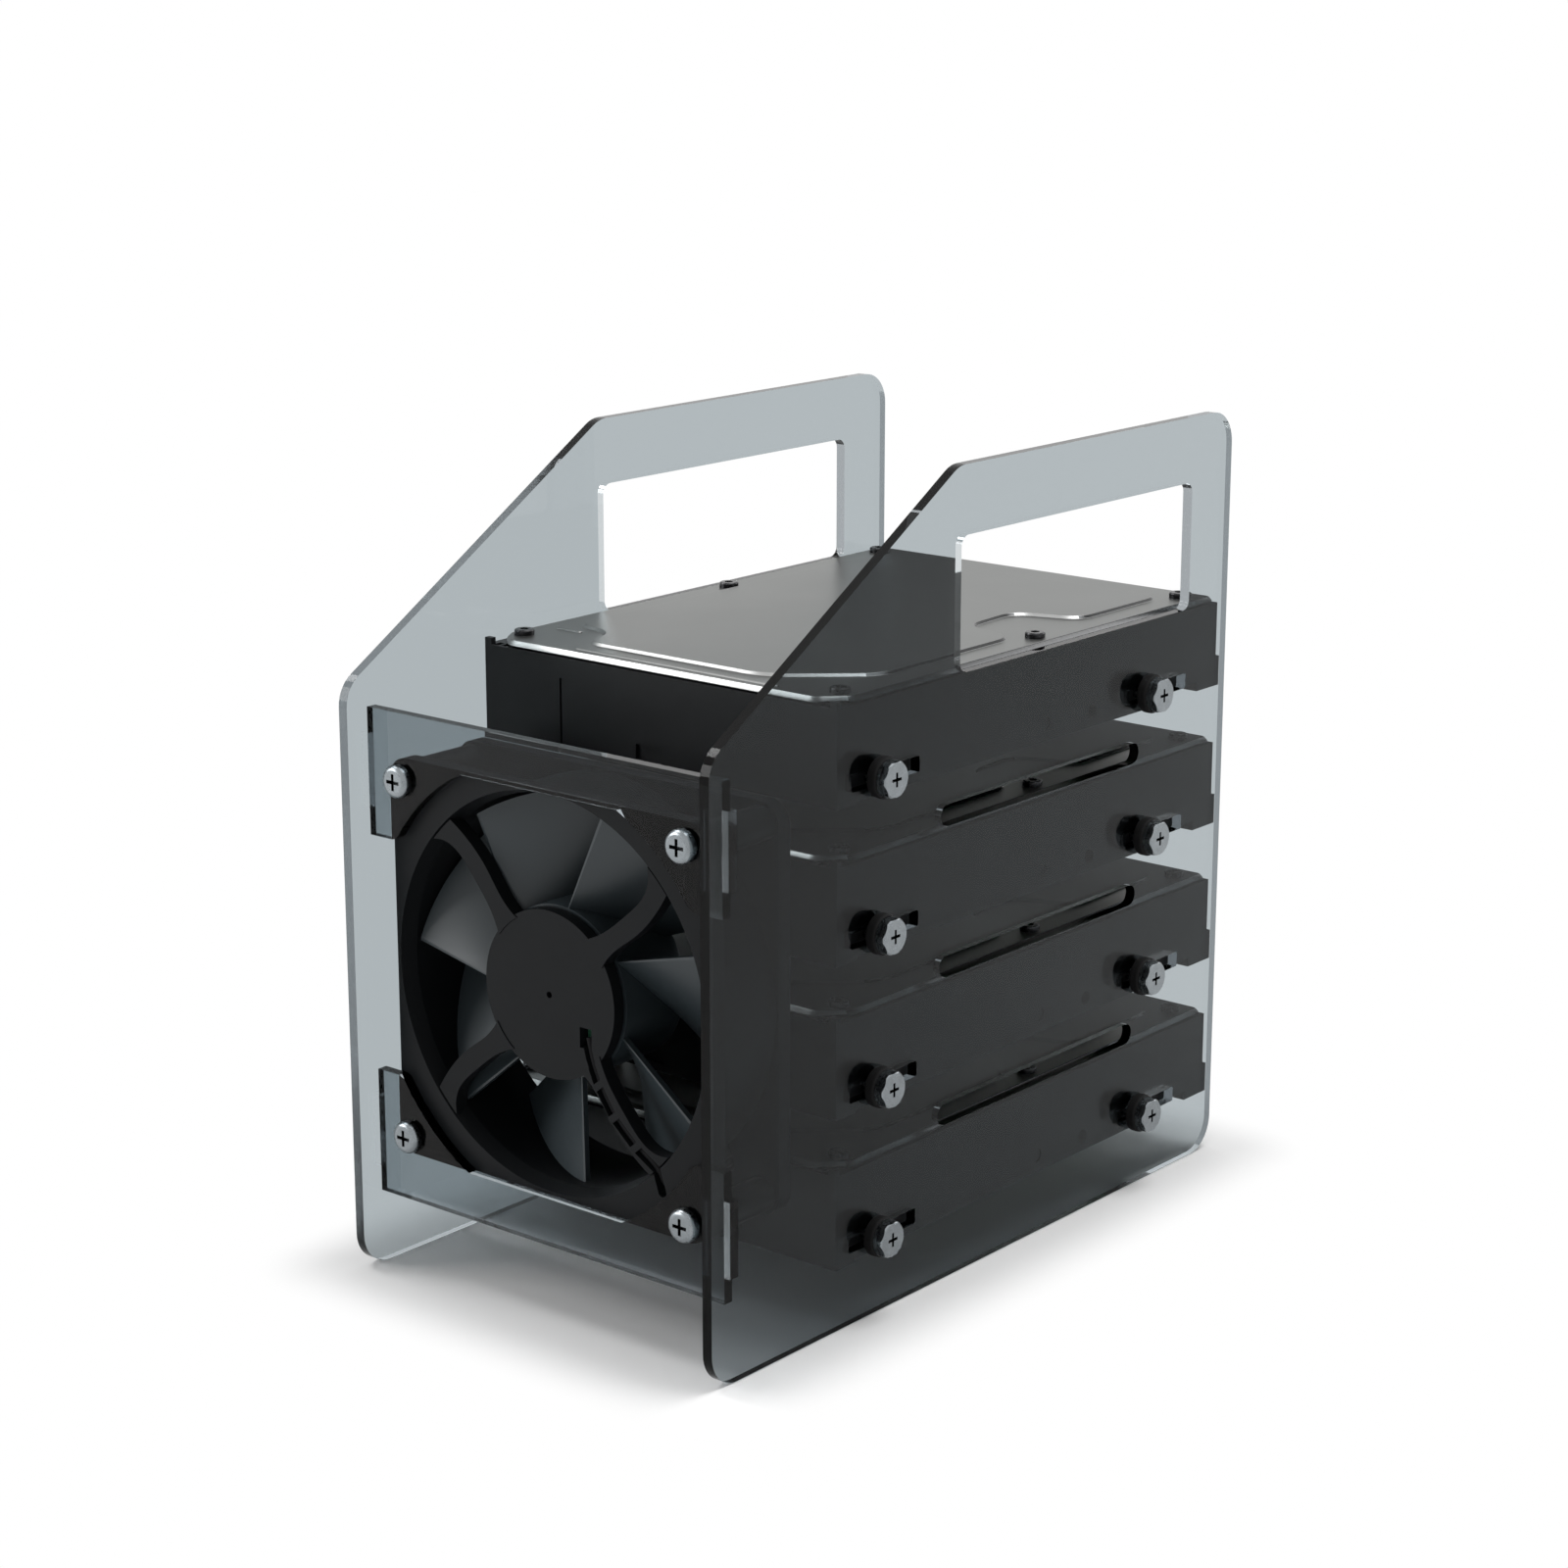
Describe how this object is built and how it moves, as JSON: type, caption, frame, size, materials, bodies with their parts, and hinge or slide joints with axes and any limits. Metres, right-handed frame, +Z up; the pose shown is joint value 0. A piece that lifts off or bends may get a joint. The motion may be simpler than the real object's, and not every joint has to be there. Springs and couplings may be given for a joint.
{
  "type": "hard drive cage",
  "caption": "Clear acrylic cage with a cooling fan at the front and a stack of hard drives screwed between two slotted side plates through rubber rings.",
  "frame": {"origin": "on the floor, in the middle of the side plates' length and of the cage's width", "axes": "+Z up; +Y from the fan to the drives' sockets, along the side plates; +X across the cage, to the right of someone who looks at the fan"},
  "size_m": [0.1168, 0.19, 0.185],
  "materials": {
    "clear_acrylic": "clear polished acrylic",
    "fan_black": "moulded black, slight sheen",
    "rotor_black": "moulded black, slight sheen",
    "steel": "ground",
    "magnet": "bonded ferrite",
    "laminations": "coated laminations",
    "board_green": "solder mask",
    "bright_steel": "bright zinc plate",
    "dark_steel": "dark plated",
    "lid_steel": "bright stainless, nearly a mirror",
    "casting": "black coated casting",
    "connector_black": "moulded black",
    "rubber": "matt black rubber",
    "lead": "black sleeve",
    "plug": "moulded natural nylon"
  },
  "bodies": {
    "cage": {"left_side_plate": "clear_acrylic", "right_side_plate": "clear_acrylic", "upper_fan_plate": "clear_acrylic", "lower_fan_plate": "clear_acrylic", "fan_frame": "fan_black", "fan_bearings": "steel", "fan_stator": "laminations", "fan_motor_board": "board_green", "fan_screws": "bright_steel", "fan_lead": "lead", "fan_lead_coil": "lead", "fan_lead_tail": "lead", "fan_plug": "plug"},
    "rotor": {"fan_rotor": "rotor_black", "fan_shaft": "steel", "fan_magnet": "magnet"},
    "drive_1": {"drive_1_base": "casting", "drive_1_lid": "lid_steel", "drive_1_lid_screws": "dark_steel", "drive_1_board": "board_green", "drive_1_connector": "connector_black", "drive_1_hex_screws": "bright_steel", "drive_1_rubber_rings": "rubber"},
    "drive_2": {"drive_2_base": "casting", "drive_2_lid": "lid_steel", "drive_2_lid_screws": "dark_steel", "drive_2_board": "board_green", "drive_2_connector": "connector_black", "drive_2_hex_screws": "bright_steel", "drive_2_rubber_rings": "rubber"},
    "drive_3": {"drive_3_base": "casting", "drive_3_lid": "lid_steel", "drive_3_lid_screws": "dark_steel", "drive_3_board": "board_green", "drive_3_connector": "connector_black", "drive_3_hex_screws": "bright_steel", "drive_3_rubber_rings": "rubber"},
    "drive_4": {"drive_4_base": "casting", "drive_4_lid": "lid_steel", "drive_4_lid_screws": "dark_steel", "drive_4_board": "board_green", "drive_4_connector": "connector_black", "drive_4_hex_screws": "bright_steel", "drive_4_rubber_rings": "rubber"}
  },
  "joints": [
    {"name": "fan_spin", "type": "hinge", "parent": "cage", "child": "rotor", "pos_m": [0, -0.0725, 0.0739], "axis": [0, 1, 0], "continuous": true},
    {"name": "drive_1_slide", "type": "slide", "parent": "cage", "child": "drive_1", "axis": [0, 1, 0], "range_m": [-0.0052, 0.0125]},
    {"name": "drive_2_slide", "type": "slide", "parent": "cage", "child": "drive_2", "axis": [0, 1, 0], "range_m": [-0.0052, 0.0125]},
    {"name": "drive_3_slide", "type": "slide", "parent": "cage", "child": "drive_3", "axis": [0, 1, 0], "range_m": [-0.0052, 0.0125]},
    {"name": "drive_4_slide", "type": "slide", "parent": "cage", "child": "drive_4", "axis": [0, 1, 0], "range_m": [-0.0052, 0.0125]}
  ]
}
